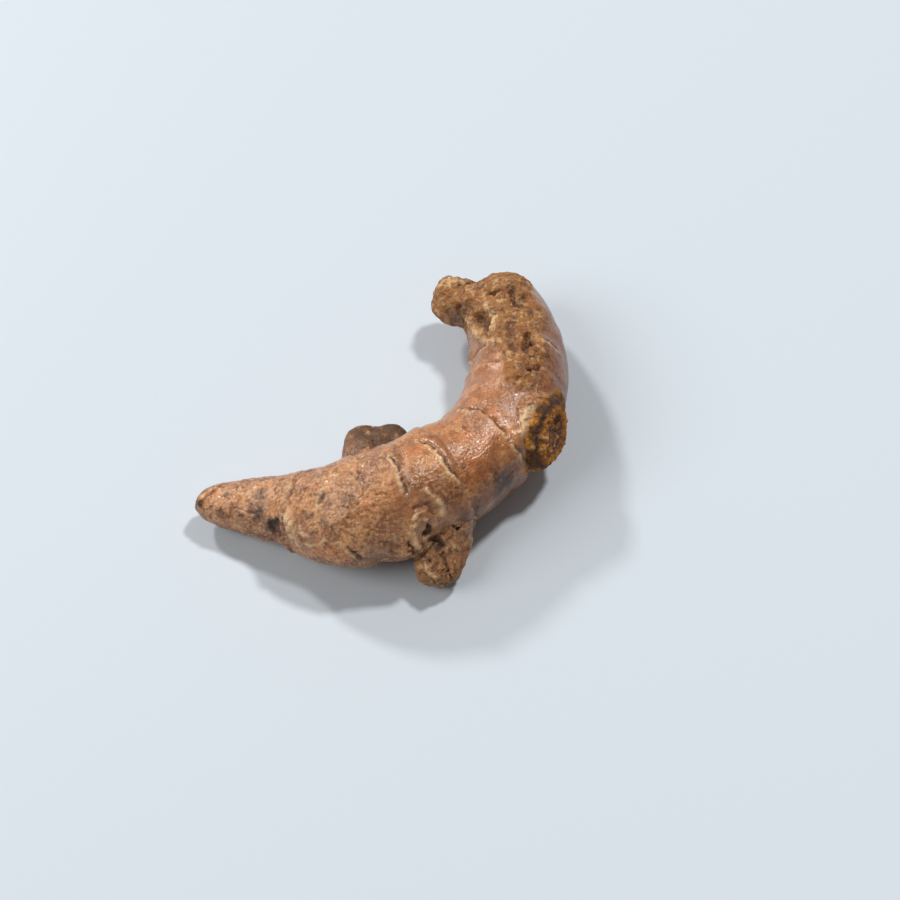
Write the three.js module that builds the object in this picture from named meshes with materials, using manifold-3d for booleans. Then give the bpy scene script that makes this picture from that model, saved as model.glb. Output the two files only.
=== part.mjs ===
// One fresh turmeric root: a hooked rhizome lying on a table, grown as one piece.
// Millimetres, +Z up. The pointed tip is at -X, the broken crown at +Y, and a side shoot lies on the table at -Y.
// The origin is on the table, under the middle of the whole rhizome.
import * as THREE from 'three';
import { mergeVertices } from 'three/addons/utils/BufferGeometryUtils.js';
import { ImprovedNoise } from 'three/addons/math/ImprovedNoise.js';
import Module from 'manifold-3d';

// The shapes below are measured from a point on the table inside the hook. This is the middle of the whole from there.
const MIDDLE = [-14.0, 0.3];
// How deep the lowest places would reach into the table if they weren't flat.
const PRESSED = 0.5;

// Stations are [x, y, z, radius], from root to end.
const BODY = [
  [-54.0, -19.6, 6.0, 1.9],
  [-51.2, -18.9, 6.0, 3.6],
  [-46.8, -18.8, 6.2, 5.0],
  [-41.0, -19.5, 6.5, 6.3],
  [-35.0, -20.6, 7.4, 7.3],
  [-28.5, -22.8, 9.4, 9.4],
  [-21.5, -24.5, 11.8, 11.2],
  [-13.8, -22.9, 12.9, 11.8],
  [-4.9, -18.3, 13.0, 11.7],
  [3.6, -12.2, 12.7, 11.0],
  [10.3, -3.4, 12.2, 10.8],
  [14.3, 6.8, 11.6, 11.0],
  [15.1, 17.3, 10.5, 10.4],
  [13.3, 26.3, 10.2, 9.8],
  [10.6, 33.4, 10.0, 8.9],
  [8.6, 37.9, 10.0, 7.6],
];
const SHOOT = [
  [-2.5, -17.0, 10.5, 9.5],
  [-2.2, -25.0, 8.4, 7.6],
  [-2.4, -30.0, 6.4, 5.7],
  [-3.2, -37.4, 4.1, 4.1],
];
const TWIN = [
  [-1.0, -22.0, 8.4, 6.5],
  [-0.2, -28.0, 6.6, 5.0],
  [-0.1, -34.6, 4.6, 3.4],
];
const BROKEN_SIDE = [
  [9.5, -1.0, 12.0, 9.8],
  [16.4, -4.2, 13.6, 8.9],
  [22.8, -7.2, 15.2, 8.0],
];
const CROWN_KNOB = [
  [12.0, 30.0, 10.2, 8.0],
  [5.6, 31.6, 10.2, 5.2],
  [0.8, 33.4, 10.6, 4.9],
  [-3.6, 34.2, 10.8, 4.3],
];
const BACK_BUD = [
  [-17.5, -15.0, 11.0, 6.0],
  [-18.4, -9.0, 11.2, 4.9],
  [-18.5, -2.2, 11.3, 4.1],
];
const BACK_BUD_TWIN = [
  [-18.5, -8.8, 11.2, 4.2],
  [-14.0, -6.9, 11.4, 4.6],
  [-8.9, -4.8, 11.2, 3.4],
];
const INNER_BUD = [
  [9.0, 9.0, 12.0, 3.0],
  [4.6, 10.4, 13.4, 1.5],
];

// Distances along the body from its tip to each leaf-scar ring.
const NODE_RINGS = [23, 37.5, 46, 55.5, 68.5, 84];
const RING_SHOULDER = { height: 0.4, width: 1.8 };
const RING_GROOVE = { depth: 0.5, width: 0.6, behind: 1.0 };
const RING_WAVER = { height: 1.2, size: 7 };
const RING_FADE = { share: 0.8, size: 13 };

// Corky scars of broken-off shoots: [x, y, z, reach] of each round patch, on the skin.
const CORKY = [
  [0.0, 33.5, 13.5, 6.0],
  [8.0, 36.5, 15.0, 8.5],
  [9.0, 28.2, 18.9, 6.5],
  [14.9, 25.8, 19.8, 6.5],
  [7.5, 22.4, 17.8, 4.5],
  [16.8, 13.1, 21.5, 6.0],
  [15.6, 5.5, 22.6, 3.4],
  [23.6, -7.6, 15.6, 8.5],
  [-1.6, -36.0, 4.5, 7.0],
];
const CORK = { raised: 0.45, lump: 0.75, size: 2.6, edge: 0.3 };

// Pits and lumps of the skin: [x, y, z, height, radius], a pit with a height below nought.
const MARKS = [
  [-35.8, -28.0, 12.0, -1.5, 1.8],
  [-33.2, -28.6, 13.4, 0.7, 1.8],
  [-23.0, -35.4, 12.9, 0.7, 3.2],
  [-30.5, -31.9, 13.9, 0.5, 1.6],
  [-5.9, -30.6, 19.5, 0.8, 1.7],
  [-8.6, -33.4, 11.4, 2.0, 3.6],
  [-5.1, -31.8, 16.7, -1.0, 1.3],
  [1.7, -29.1, 12.9, -1.2, 1.4],
  [7.5, 22.4, 17.8, -1.5, 1.7],
  [6.6, 18.6, 16.2, 1.0, 2.2],
  [10.9, 17.7, 20.1, 0.9, 2.0],
  [9.0, 28.2, 18.9, -1.3, 1.7],
  [14.9, 25.8, 19.8, -1.2, 2.3],
  [19.8, 24.8, 18.3, 0.7, 2.6],
  [16.8, 13.1, 21.5, -1.5, 1.9],
  [20.6, 13.5, 20.0, 0.6, 2.2],
  [15.6, 5.5, 22.6, 0.6, 2.2],
  [2.5, 33.3, 15.2, -0.8, 1.2],
  [14.6, -10.6, 20.6, 0.9, 2.2],
  [12.6, -14.0, 18.8, 0.7, 2.0],
  [25.2, -6.4, 16.6, -1.4, 3.0],
];

const SWELLING = { height: 0.45, size: 9 };
const WRINKLE = { height: 0.2, size: 3.4 };

const SECTION_SPACING = 1.5;
const BODY_SIDES = 40;
const WALK_STEPS = 600;

const noise = new ImprovedNoise();
const bell = (distance, width) => Math.exp(-((distance / width) ** 2));
const noiseAt = (p, size) => noise.noise(p.x / size, p.y / size, p.z / size);
const howFar = (p, [x, y, z]) => Math.hypot(p.x - x, p.y - y, p.z - z);

// A spine walked in small steps: its points, its length so far and its radius at each.
function walk(stations) {
  const path = new THREE.CatmullRomCurve3(stations.map(([x, y, z]) => new THREE.Vector3(x, y, z)));
  const girth = new THREE.SplineCurve(stations.map(([, , , r], i) => new THREE.Vector2(i, r)));
  const steps = [];
  let length = 0;
  for (let i = 0; i <= WALK_STEPS; i++) {
    const point = path.getPoint(i / WALK_STEPS);
    if (i) length += point.distanceTo(steps[i - 1].point);
    steps.push({ point, length, radius: girth.getPoint(i / WALK_STEPS).y });
  }
  return { steps, length };
}

// The point, the radius and the direction at a distance along a walked spine.
function at(spine, distance) {
  const { steps } = spine;
  let i = 1;
  while (i < steps.length - 1 && steps[i].length < distance) i++;
  const [a, b] = [steps[i - 1], steps[i]];
  const share = (distance - a.length) / (b.length - a.length);
  return {
    point: a.point.clone().lerp(b.point, share),
    radius: THREE.MathUtils.lerp(a.radius, b.radius, share),
    along: b.point.clone().sub(a.point).normalize(),
  };
}

// Where the cross-sections stand: evenly, closer on the two round ends and beside each ring.
function sectionPlaces(length, blunt, rings) {
  const END_SECTIONS = 5;
  const BESIDE_RING = [-0.7, 0.3, 1.0, 1.7];
  const RING_MIDDLE = 0.5;
  const places = [];
  for (let i = 1; i <= END_SECTIONS; i++) {
    const share = 1 - Math.cos((i / END_SECTIONS) * Math.PI / 2);
    places.push(blunt.start * share, length - blunt.end * share);
  }
  for (const ring of rings) places.push(...BESIDE_RING.map((off) => ring + off));
  for (let d = blunt.start + SECTION_SPACING; d < length - blunt.end; d += SECTION_SPACING) {
    if (rings.every((ring) => Math.abs(ring + RING_MIDDLE - d) > SECTION_SPACING)) places.push(d);
  }
  return places.filter((d) => d > 0 && d < length).sort((a, b) => a - b);
}

// A closed solid round a spine. Its two ends are rounded over the blunt lengths, and relief(point, distance)
// moves the skin out or in.
function limb(stations, { sides, blunt, rings = [], relief }) {
  const FULL_RELIEF_RADIUS = 2;
  const spine = walk(stations);
  const places = sectionPlaces(spine.length, blunt, rings);
  const positions = [];
  const faces = [];
  const across = new THREE.Vector3(0, 0, 1);
  for (const distance of places) {
    const { point, radius, along } = at(spine, distance);
    across.addScaledVector(along, -across.dot(along)).normalize();
    const other = along.clone().cross(across);
    const left = spine.length - distance;
    const lean = Math.max(0, 1 - left / blunt.end) - Math.max(0, 1 - distance / blunt.start);
    const r = radius * Math.sqrt(1 - lean ** 2);
    for (let i = 0; i < sides; i++) {
      const turn = (i / sides) * 2 * Math.PI;
      const out = across.clone().multiplyScalar(Math.cos(turn)).addScaledVector(other, Math.sin(turn));
      const skin = point.clone().addScaledVector(out, r);
      const facing = out.clone().multiplyScalar(Math.sqrt(1 - lean ** 2)).addScaledVector(along, lean);
      skin.addScaledVector(facing, relief(skin, distance) * Math.min(1, r / FULL_RELIEF_RADIUS));
      positions.push(...skin);
    }
  }
  const rows = places.length;
  for (let row = 0; row < rows - 1; row++) {
    for (let i = 0; i < sides; i++) {
      const [a, b] = [row * sides + i, row * sides + ((i + 1) % sides)];
      faces.push(a, b, a + sides, b, b + sides, a + sides);
    }
  }
  const tip = positions.length / 3;
  positions.push(...at(spine, 0).point, ...at(spine, spine.length).point);
  for (let i = 0; i < sides; i++) {
    const j = (i + 1) % sides;
    const last = (rows - 1) * sides;
    faces.push(tip, j, i, tip + 1, last + i, last + j);
  }
  return new THREE.BufferGeometry()
    .setAttribute('position', new THREE.Float32BufferAttribute(positions, 3))
    .setIndex(faces);
}

const wasm = await Module();
wasm.setup();

function solid(geometry) {
  const merged = mergeVertices(geometry, 1e-4);
  return new wasm.Manifold(new wasm.Mesh({
    numProp: 3,
    vertProperties: merged.attributes.position.array,
    triVerts: new Uint32Array(merged.index.array),
  }));
}

// How corky the skin is at a point, from 0 to 1.
function corkiness(p) {
  const share = Math.max(...CORKY.map((patch) => (1 - howFar(p, patch) / patch[3]) / CORK.edge));
  return THREE.MathUtils.smoothstep(share, 0, 1);
}

// Swelling, wrinkles, corky scars, pits and lumps that cover the whole rhizome.
function skinRelief(p) {
  let height = SWELLING.height * noiseAt(p, SWELLING.size) + WRINKLE.height * noiseAt(p, WRINKLE.size);
  height += corkiness(p) * (CORK.raised + CORK.lump * noiseAt(p, CORK.size));
  for (const mark of MARKS) height += mark[3] * bell(howFar(p, mark), mark[4]);
  return height;
}

// The rings: each a low shoulder on the tip's side of it, and a narrow groove behind.
function ringRelief(p, distance) {
  let height = 0;
  for (const ring of NODE_RINGS) {
    const off = distance - ring - RING_WAVER.height * noiseAt(p, RING_WAVER.size);
    height += RING_SHOULDER.height * bell(off, RING_SHOULDER.width);
    height -= RING_GROOVE.depth * bell(off - RING_GROOVE.behind, RING_GROOVE.width);
  }
  return height * (1 + RING_FADE.share * noiseAt(p, RING_FADE.size)) * (1 - corkiness(p));
}

function rhizome() {
  const body = limb(BODY, {
    sides: BODY_SIDES,
    blunt: { start: 1.5, end: 6.5 },
    rings: NODE_RINGS,
    relief: (p, distance) => skinRelief(p) + ringRelief(p, distance),
  });
  const shoots = [
    limb(SHOOT, { sides: 22, blunt: { start: 2, end: 3.4 }, relief: skinRelief }),
    limb(TWIN, { sides: 16, blunt: { start: 2, end: 2.6 }, relief: skinRelief }),
    limb(BROKEN_SIDE, { sides: 28, blunt: { start: 2, end: 1.5 }, relief: skinRelief }),
    limb(CROWN_KNOB, { sides: 24, blunt: { start: 2, end: 3.8 }, relief: skinRelief }),
    limb(BACK_BUD, { sides: 16, blunt: { start: 2, end: 3.4 }, relief: skinRelief }),
    limb(BACK_BUD_TWIN, { sides: 16, blunt: { start: 2, end: 2.8 }, relief: skinRelief }),
    limb(INNER_BUD, { sides: 10, blunt: { start: 1, end: 1.2 }, relief: skinRelief }),
  ];
  return shoots.reduce((whole, shoot) => whole.add(solid(shoot)), solid(body));
}

// The skin's lowest places are pressed flat on the table, and the middle of the whole stands over the origin.
function onTheTable(manifold) {
  const { vertProperties, triVerts, numProp } = manifold.getMesh();
  const points = [];
  for (let i = 0; i < vertProperties.length; i += numProp) {
    const [x, y, z] = vertProperties.slice(i, i + 3);
    points.push(x - MIDDLE[0], y - MIDDLE[1], Math.max(0, z - PRESSED));
  }
  const geometry = new THREE.BufferGeometry();
  geometry.setAttribute('position', new THREE.Float32BufferAttribute(points, 3));
  geometry.setIndex([...triVerts]);
  geometry.computeVertexNormals();
  return geometry;
}

const SKIN = new THREE.MeshStandardMaterial({ color: 0xa87550, roughness: 0.55, metalness: 0 });

const root = new THREE.Group();
const rhizomeMesh = new THREE.Mesh(onTheTable(rhizome()), SKIN);
rhizomeMesh.name = 'rhizome';
root.add(rhizomeMesh);

export default root;
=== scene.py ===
"""A fresh turmeric root on a pale table: the fine shape of its skin, its finish, the light and the camera.

Shapes are measured in millimetres from a point on the table inside the hook, as in the solid's source, and are
turned to metres from the middle of the rhizome at the end.
"""

import math

import bpy
import numpy as np
from mathutils import Matrix, Vector, noise


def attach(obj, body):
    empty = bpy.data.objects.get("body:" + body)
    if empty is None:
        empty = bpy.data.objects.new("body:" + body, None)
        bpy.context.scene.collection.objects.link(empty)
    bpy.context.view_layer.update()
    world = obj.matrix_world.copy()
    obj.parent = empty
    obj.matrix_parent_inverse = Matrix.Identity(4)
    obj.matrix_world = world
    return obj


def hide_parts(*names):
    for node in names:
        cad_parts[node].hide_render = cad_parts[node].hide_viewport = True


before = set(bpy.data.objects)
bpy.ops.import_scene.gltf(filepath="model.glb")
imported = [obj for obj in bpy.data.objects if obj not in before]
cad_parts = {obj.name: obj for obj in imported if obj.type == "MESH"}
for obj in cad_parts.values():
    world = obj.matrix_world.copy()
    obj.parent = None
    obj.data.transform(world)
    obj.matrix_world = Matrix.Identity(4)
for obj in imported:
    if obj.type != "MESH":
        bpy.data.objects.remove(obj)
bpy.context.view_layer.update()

bl_info = {
    "name": "Fresh Turmeric Root",
    "version": (1, 0, 0),
    "blender": (4, 5, 0),
    "location": "View3D > Sidebar > Turmeric Root",
    "description": "Shapes and finishes a fresh turmeric rhizome round its solid",
    "category": "Add Mesh",
}

MM = 0.001
NODE = "rhizome"
# The middle of the rhizome's foot, where the finished part has its origin.
MIDDLE = np.array([-14.0, 0.3, 0.5])
SWIRL_SEED = 3

# The lines that the limbs grow along: [x, y, z, radius] from root to end, the solid's own.
BODY = [
    [-54.0, -19.6, 6.0, 1.9],
    [-51.2, -18.9, 6.0, 3.6],
    [-46.8, -18.8, 6.2, 5.0],
    [-41.0, -19.5, 6.5, 6.3],
    [-35.0, -20.6, 7.4, 7.3],
    [-28.5, -22.8, 9.4, 9.4],
    [-21.5, -24.5, 11.8, 11.2],
    [-13.8, -22.9, 12.9, 11.8],
    [-4.9, -18.3, 13.0, 11.7],
    [3.6, -12.2, 12.7, 11.0],
    [10.3, -3.4, 12.2, 10.8],
    [14.3, 6.8, 11.6, 11.0],
    [15.1, 17.3, 10.5, 10.4],
    [13.3, 26.3, 10.2, 9.8],
    [10.6, 33.4, 10.0, 8.9],
    [8.6, 37.9, 10.0, 7.6],
]
SHOOT = [[-2.5, -17.0, 10.5, 9.5], [-2.2, -25.0, 8.4, 7.6], [-2.4, -30.0, 6.4, 5.7], [-3.2, -37.4, 4.1, 4.1]]
TWIN = [[-1.0, -22.0, 8.4, 6.5], [-0.2, -28.0, 6.6, 5.0], [-0.1, -34.6, 4.6, 3.4]]
BROKEN_SIDE = [[9.5, -1.0, 12.0, 9.8], [16.4, -4.2, 13.6, 8.9], [22.8, -7.2, 15.2, 8.0]]
CROWN_KNOB = [[12.0, 30.0, 10.2, 8.0], [5.6, 31.6, 10.2, 5.2], [0.8, 33.4, 10.6, 4.9], [-3.6, 34.2, 10.8, 4.3]]
BACK_BUD = [[-17.5, -15.0, 11.0, 6.0], [-18.4, -9.0, 11.2, 4.9], [-18.5, -2.2, 11.3, 4.1]]
BACK_BUD_TWIN = [[-18.5, -8.8, 11.2, 4.2], [-14.0, -6.9, 11.4, 4.6], [-8.9, -4.8, 11.2, 3.4]]
LIMBS = [BODY, SHOOT, TWIN, BROKEN_SIDE, CROWN_KNOB, BACK_BUD, BACK_BUD_TWIN]

# Leaf-scar rings, as distances along the body from its tip to the edge of each.
RINGS = [23.7, 38.2, 46.7, 56.2, 69.2, 84.7]

# Cracks of the skin, from their start to their end. Each has a raised lip on the side of the pointed tip, painted pale
# partly as a painted highlight.
CRACKS = [
    [(-11.9, -19.6, 25.1), (-10.6, -21.8, 25.5), (-9.6, -25.1, 24.9), (-8.8, -27.2, 23.9)],
    [(-6.4, -14.6, 24.1), (-3.3, -16.4, 24.9), (-1.2, -19.6, 24.5), (0.0, -21.3, 23.6), (1.9, -22.7, 22.0)],
    [(2.5, -4.4, 21.3), (5.7, -5.4, 23.1), (10.2, -9.5, 22.7), (13.6, -13.5, 20.4), (15.6, -13.9, 16.2)],
    [(5.2, 13.7, 14.7), (6.1, 14.9, 16.0), (8.0, 14.8, 18.6)],
    [(-25.8, -25.9, 21.9), (-26.2, -27.0, 21.5), (-26.6, -27.9, 20.9)],
    [(-20.9, -35.4, 16.0), (-19.2, -36.0, 15.0), (-18.1, -36.2, 12.2)],
    [(-53.2, -19.9, 7.7), (-52.3, -19.2, 8.9), (-51.2, -18.2, 9.7), (-49.9, -17.5, 10.2)],
    [(21.4, 14.2, 20.8), (22.3, 14.4, 19.2), (23.0, 13.9, 18.3)],
]

# Raised rims, scale edges and flaps: (line, height, half width). Their crests are painted pale; on the rim of the
# broken face this is a painted highlight.
RIDGES = [
    ([(-33.7, -27.4, 15.7), (-33.3, -29.5, 14.8), (-32.5, -30.8, 13.0), (-31.0, -32.2, 12.4)], 0.55, 0.8),
    ([(-32.8, -29.0, 15.5), (-31.8, -30.8, 14.1), (-30.1, -32.6, 13.8), (-28.2, -33.6, 13.6)], 0.4, 0.5),
    ([(-31.3, -30.3, 15.5), (-30.0, -32.0, 15.2), (-28.4, -33.0, 14.9)], 0.35, 0.45),
    ([(-7.5, -31.5, 20.0), (-6.5, -30.6, 20.9), (-5.1, -29.3, 20.4)], 0.55, 0.45),
    ([(-7.4, -32.1, 18.4), (-6.1, -31.3, 19.8), (-4.5, -29.8, 19.0)], 0.6, 0.45),
    ([(-4.9, -26.3, 22.6), (-3.3, -26.9, 21.6), (-2.1, -27.7, 20.0), (-1.6, -28.7, 18.0)], 0.55, 0.7),
    ([(-7.8, -32.9, 17.3), (-7.2, -33.8, 14.9), (-6.0, -33.9, 12.5)], 0.5, 0.7),
    ([(-3.9, -30.2, 16.8), (-4.1, -31.6, 14.9), (-5.2, -32.6, 14.2)], 0.4, 0.4),
    ([(-1.0, -32.7, 11.0), (0.4, -31.9, 10.8), (1.9, -31.7, 9.7)], 0.5, 0.5),
    ([(-4.9, -37.0, 9.4), (-3.7, -37.6, 8.4), (-2.6, -37.9, 8.3)], 0.45, 0.4),
    ([(4.4, 24.8, 14.1), (5.5, 20.2, 16.3), (6.6, 17.8, 17.2), (8.0, 15.5, 18.4), (9.1, 14.6, 19.5)], 0.7, 0.7),
    ([(8.8, 24.6, 19.2), (10.0, 21.0, 19.8), (9.4, 18.0, 19.8)], 0.6, 0.9),
    ([(-2.2, 34.1, 14.9), (-0.4, 35.4, 15.4), (1.6, 35.5, 15.2), (3.6, 33.9, 15.1)], 0.45, 0.8),
    # The rim of the broken face, painted pale as a painted highlight.
    ([(17.9, -4.6, 22.6), (16.4, -6.0, 22.5), (15.5, -7.7, 21.9), (15.1, -10.6, 21.0)], 0.5, 0.9),
    ([(17.6, -11.4, 20.0), (19.1, -10.6, 20.2), (20.9, -9.9, 17.8)], 0.4, 0.45),
    ([(17.2, -12.3, 18.6), (19.1, -12.2, 17.4), (21.1, -10.2, 16.1)], 0.4, 0.45),
    ([(21.6, -10.3, 13.9), (23.0, -8.5, 13.7), (23.4, -6.2, 14.1)], 0.35, 0.4),
    ([(-28.0, -33.7, 13.7), (-25.6, -34.0, 16.0), (-22.5, -35.0, 16.2), (-20.1, -35.9, 15.2)], 0.2, 0.4),
    ([(-34.6, -26.9, 14.5), (-33.5, -29.6, 14.5), (-32.7, -30.8, 12.1)], 0.3, 0.5),
    ([(-5.4, -34.8, 10.0), (-4.8, -36.9, 8.6), (-3.9, -38.1, 6.7)], 0.3, 0.35),
]

# Swellings without a pale rim: (line, height, half width).
SWELLINGS = [
    ([(13.2, -10.9, 21.4), (14.0, -12.6, 20.5), (15.3, -13.1, 17.5)], 0.55, 1.3),
    ([(4.8, 16.5, 12.4), (4.8, 14.5, 13.0)], 0.9, 1.3),
    ([(2.9, 29.1, 14.3), (4.6, 27.5, 16.4), (6.6, 26.3, 17.8), (8.3, 25.1, 19.0)], 0.7, 1.8),
    ([(3.9, 32.6, 14.8), (4.0, 30.5, 15.4), (4.4, 28.6, 15.6)], 1.2, 2.1),
    ([(-3.7, -33.5, 11.0), (-3.3, -35.9, 9.9), (-2.7, -37.8, 8.1)], 0.3, 0.7),
    ([(1.2, -32.5, 9.5), (1.9, -34.0, 7.9), (1.9, -35.7, 6.8)], 0.3, 0.7),
]

# Hollows and deep crevices: (line, depth, half width). Their colour is also darkened as painted shade.
HOLLOWS = [
    ([(-35.8, -26.4, 13.2), (-35.4, -27.6, 11.4), (-34.7, -29.1, 10.6)], 0.9, 0.6),
    ([(-36.6, -27.0, 11.0), (-36.4, -28.0, 9.2)], 0.7, 1.2),
    ([(-28.6, -33.4, 11.8), (-30.4, -32.3, 12.9), (-32.0, -30.6, 13.0)], 0.25, 0.3),
    ([(-20.1, -35.9, 15.2), (-18.7, -36.3, 13.6), (-18.6, -35.9, 10.5), (-20.1, -35.3, 8.5)], 0.45, 0.4),
    ([(-53.7, -19.5, 7.2), (-53.2, -18.6, 8.1), (-52.0, -17.0, 8.7), (-50.4, -16.9, 9.7)], 0.4, 0.45),
    ([(-4.4, -30.7, 16.5), (-5.0, -31.7, 15.5)], 0.9, 0.9),
    ([(-4.4, -33.6, 10.9), (-4.0, -35.9, 9.8), (-3.3, -37.6, 8.3)], 0.4, 0.3),
    ([(-2.9, -33.6, 10.9), (-2.4, -35.9, 9.9), (-2.0, -37.6, 7.7)], 0.4, 0.3),
    ([(0.4, -33.0, 10.1), (1.0, -34.5, 8.6), (1.2, -36.3, 7.0)], 0.4, 0.3),
    ([(-6.9, -29.5, 21.9), (-4.5, -28.4, 20.9), (-3.7, -29.2, 19.6)], 0.5, 0.9),
    ([(0.6, -28.6, 13.4), (1.7, -28.7, 12.3), (2.9, -28.8, 11.7)], 1.0, 0.5),
    ([(-2.7, -31.5, 12.2), (-1.9, -32.8, 11.1)], 0.6, 1.1),
    ([(-1.4, -34.1, 10.4), (-0.6, -35.5, 9.5), (-0.2, -36.6, 8.2), (0.0, -37.3, 5.7)], 0.7, 0.6),
    ([(-9.0, -34.2, 15.6), (-8.2, -34.7, 14.0), (-7.4, -35.0, 11.9)], 0.7, 0.5),
    ([(-5.0, -36.8, 8.6), (-4.4, -37.8, 7.4), (-3.3, -37.9, 5.5)], 0.6, 0.35),
    ([(-2.5, -37.8, 7.7), (-1.5, -37.6, 5.1)], 0.6, 0.35),
    ([(-13.9, -34.4, 17.0), (-11.9, -35.0, 13.8), (-9.9, -35.4, 12.5)], 0.35, 0.6),
    ([(13.0, 18.1, 21.0), (13.2, 15.6, 21.4), (13.4, 13.4, 21.5), (13.7, 11.1, 22.3)], 0.7, 1.1),
    ([(6.6, 23.6, 16.9), (7.7, 22.4, 17.0), (8.3, 19.5, 18.9)], 0.8, 1.3),
    ([(8.4, 28.8, 18.2), (9.7, 28.6, 18.8), (11.0, 28.7, 19.7)], 0.7, 0.6),
    ([(14.3, 29.4, 19.9), (14.1, 27.2, 19.5), (14.9, 25.0, 19.4), (16.0, 24.0, 19.6)], 0.8, 0.9),
    ([(15.6, 27.2, 19.5), (16.7, 25.9, 19.3)], 0.6, 0.7),
    ([(9.0, 22.7, 19.1), (10.3, 23.3, 19.8), (12.0, 21.8, 20.7)], 0.6, 0.4),
    ([(16.6, 14.8, 21.1), (17.0, 13.0, 20.9), (16.3, 10.0, 22.7)], 0.8, 1.0),
    ([(14.5, 5.7, 23.4), (15.9, 4.9, 23.4), (17.4, 4.6, 23.1), (19.2, 6.4, 21.7)], 0.8, 0.45),
    ([(11.3, 3.6, 22.6), (12.7, 2.1, 22.8), (14.8, 2.4, 23.1), (17.2, 4.4, 23.0)], 0.5, 0.4),
    ([(13.2, 6.9, 22.8), (13.8, 4.6, 23.4)], 0.5, 0.6),
    ([(13.7, 31.3, 19.6), (14.8, 30.4, 19.7), (16.0, 33.2, 17.7)], 0.5, 0.4),
    ([(1.8, 33.8, 15.2), (2.5, 33.3, 15.3), (3.4, 33.1, 15.1)], 0.8, 0.45),
    ([(2.4, 28.8, 14.0), (4.4, 27.7, 16.0), (6.2, 26.5, 17.6)], 0.6, 1.2),
]
# Scars where a leaf or a bud fell off, tan and dry: (line, half width).
SCARS = [
    ([(-26.3, -34.6, 13.5), (-24.0, -35.5, 13.9), (-21.6, -36.2, 13.0)], 2.1),
    ([(-52.4, -19.9, 8.6), (-51.2, -18.9, 9.7), (-49.9, -18.2, 10.3)], 0.8),
    ([(1.6, -33.0, 8.9), (1.9, -34.0, 7.9), (1.9, -35.7, 6.8)], 0.9),
]
# The old shoot's scar on the crown: rings of cork round its hollow.
EYE = {"at": (16.8, 12.4, 21.8), "reach": 5.6, "spacing": 2.1, "height": 0.22}

# Soft-edged patches: [x, y, z, radius, strength]. Stains are nearly black, old skin is brown, grey skin is dull, the
# bud behind the body has a corky end, and bare skin is so thin that the orange flesh shows through. Several stain,
# old-skin and grey-skin patches are painted shade, not the skin's own colour: the bud behind the body, the right
# side and lower right of the body, and the place under the crown's knob.
STAINS_AND_SHADE = [
    [-40.4, -23.8, 11.8, 2.4, 0.85],
    [-39.6, -20.5, 13.2, 1.7, 0.7],
    [-48.5, -22.5, 9.1, 1.3, 0.6],
    [-20.1, -28.6, 23.5, 1.3, 0.5],
    [-25.7, -31.2, 19.6, 1.1, 0.6],
    [11.3, -19.4, 16.6, 3.6, 0.95],
    [-2.3, -32.3, 11.5, 2.0, 0.8],
    # Painted shade under the crown's knob.
    [2.0, 28.0, 12.1, 3.0, 0.55],
    [1.8, -20.0, 22.5, 1.4, 0.5],
    [-36.6, -27.0, 10.6, 2.3, 1.0],
    [-53.3, -19.6, 7.6, 1.3, 0.8],
    # Painted shade over the bud behind the body.
    [-15.0, -6.0, 12.0, 10.0, 0.8],
    [17.5, -4.3, 22.2, 1.8, 0.75],
    [20.6, -2.6, 21.4, 2.0, 0.8],
    [19.4, -13.4, 14.6, 1.8, 0.6],
    [23.0, -3.0, 18.0, 2.4, 0.6],
    # Darker patches low on the body, near the table.
    [12.0, -22.0, 7.0, 5.0, 0.5],
    [-30.0, -14.0, 5.0, 4.0, 0.5],
    [24.0, 22.0, 6.0, 4.0, 0.5],
]
OLD_SKIN_AND_SHADE = [
    [6.0, -23.0, 14.0, 9.0, 0.95],
    [1.0, -24.5, 18.5, 4.5, 0.7],
    # Brown skin and painted shade on the lower right of the body.
    [12.5, -15.0, 14.0, 7.0, 0.8],
    [-14.0, -34.0, 7.0, 7.0, 0.6],
    [-36.0, -26.0, 8.0, 5.0, 0.7],
    [-48.0, -21.0, 3.0, 6.0, 0.6],
    [22.0, -2.0, 18.0, 3.6, 0.6],
    [1.0, -34.5, 9.0, 3.4, 0.8],
    # Painted shade over the bud behind the body.
    [-15.0, -7.0, 12.0, 9.0, 0.95],
    [21.3, 22.5, 18.3, 1.5, 0.7],
    [21.2, 19.0, 18.8, 1.5, 0.7],
    [4.8, 15.5, 12.7, 1.8, 0.7],
    [-12.4, -19.5, 24.8, 2.0, 0.5],
    # Brown skin and painted shade along the right side of the body.
    [24.0, 8.0, 14.0, 10.0, 0.85],
    [24.0, 18.0, 13.0, 8.0, 0.8],
    [22.0, 27.0, 12.0, 7.0, 0.7],
    # Painted shade low under the crown's knob.
    [4.0, 33.0, 5.0, 8.0, 0.6],
]
CORKY_BUD = [
    [-17.0, -3.5, 11.5, 8.0, 0.9],
    [-11.5, -4.0, 11.5, 6.0, 0.9],
]
GREY_SKIN_AND_SHADE = [
    # Dull greyish skin and painted shade along the right side of the body.
    [24.5, 6.0, 14.0, 8.5, 1.0],
    [24.5, 16.0, 13.0, 8.5, 1.0],
    [22.5, 26.0, 12.0, 8.0, 1.0],
    # Painted shade on the lower right of the body.
    [14.0, -17.0, 12.0, 6.0, 0.6],
    # Painted shade under the crown's knob.
    [3.5, 27.0, 11.0, 3.5, 0.8],
    [-12.0, -20.0, 24.8, 3.0, 0.6],
    [-33.0, -19.0, 15.0, 4.0, 0.5],
]
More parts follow.
